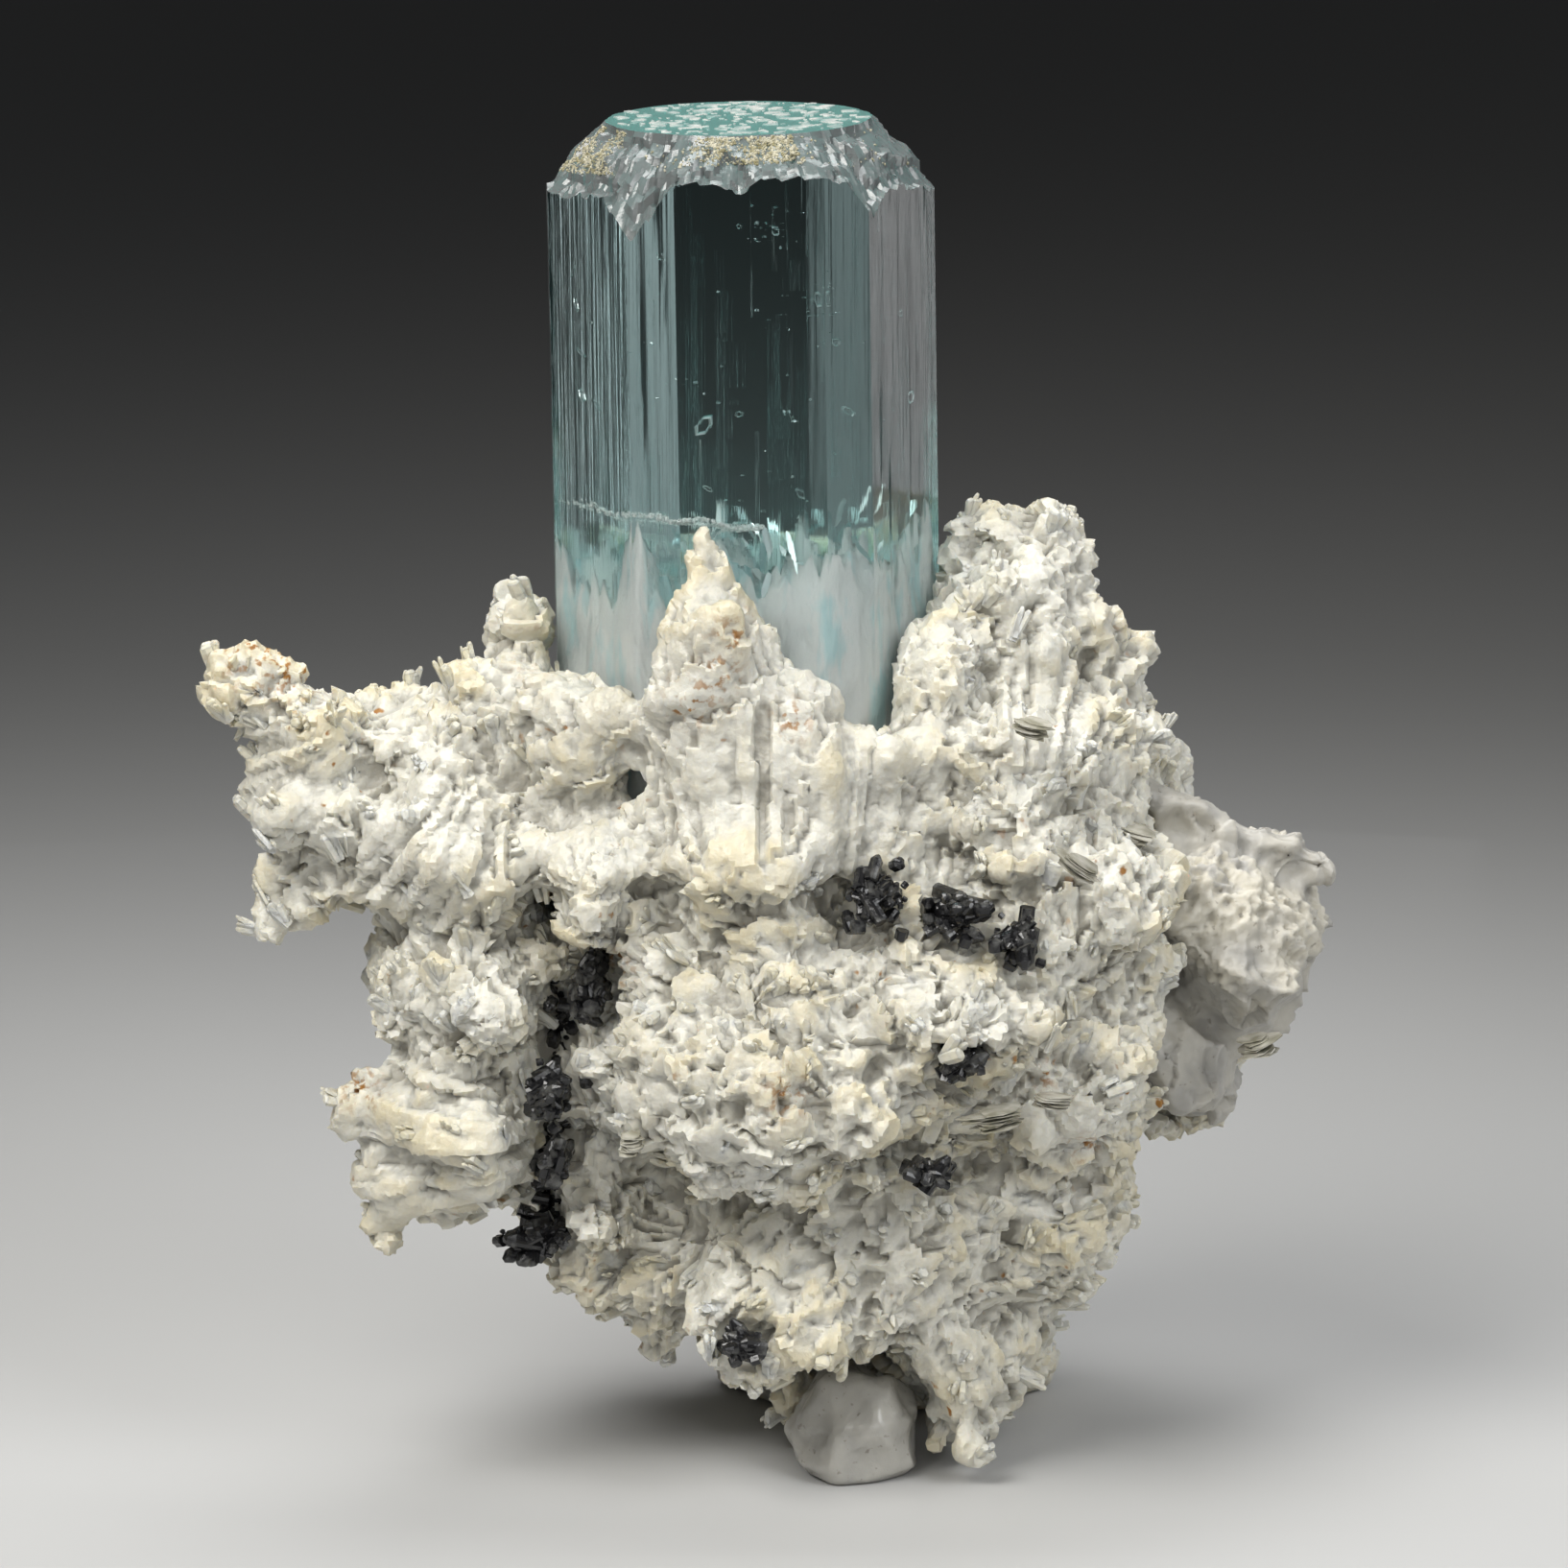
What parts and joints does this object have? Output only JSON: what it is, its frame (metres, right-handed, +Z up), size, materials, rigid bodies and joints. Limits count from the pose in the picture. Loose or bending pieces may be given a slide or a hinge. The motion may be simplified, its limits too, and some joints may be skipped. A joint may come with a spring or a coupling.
{
  "type": "mineral specimen",
  "caption": "Upright clear aquamarine prism in a jagged matrix of white bladed albite, with a grey quartz flank, black tourmaline and mica",
  "frame": {"origin": "On the flat patch the specimen stands on, under the quartz knob at its front, with z = 0 at the floor", "axes": "+Z up along the crystal, +X to the right of the broad display side, +Y from the display side to the back"},
  "size_m": [0.0947, 0.0602, 0.1145],
  "materials": {
    "aquamarine": "clear pale aqua crystal, finely striated lengthwise, chipped shoulder",
    "albite": "white to cream bladed rosettes with brown iron spots",
    "quartz": "cloudy grey, waxy, with white crusts",
    "tourmaline": "black, striated, glassy",
    "mica": "silvery olive sheets in thin books"
  },
  "bodies": {
    "root": {"albite_matrix": "albite", "aquamarine_crystal": "aquamarine", "mica_collar": "mica", "mica_flank": "mica", "mica_flank_top": "mica", "mica_front": "mica", "mica_right": "mica", "mica_shelf": "mica", "mica_shelf_upright": "mica", "quartz_flank": "quartz", "quartz_foot": "quartz", "tourmaline_eye": "tourmaline", "tourmaline_pocket_left": "tourmaline", "tourmaline_pocket_right": "tourmaline", "tourmaline_right": "tourmaline", "tourmaline_seam_end": "tourmaline", "tourmaline_seam_low": "tourmaline", "tourmaline_seam_middle": "tourmaline", "tourmaline_seam_top": "tourmaline", "tourmaline_shelf": "tourmaline", "tourmaline_speck": "tourmaline"}
  },
  "joints": []
}
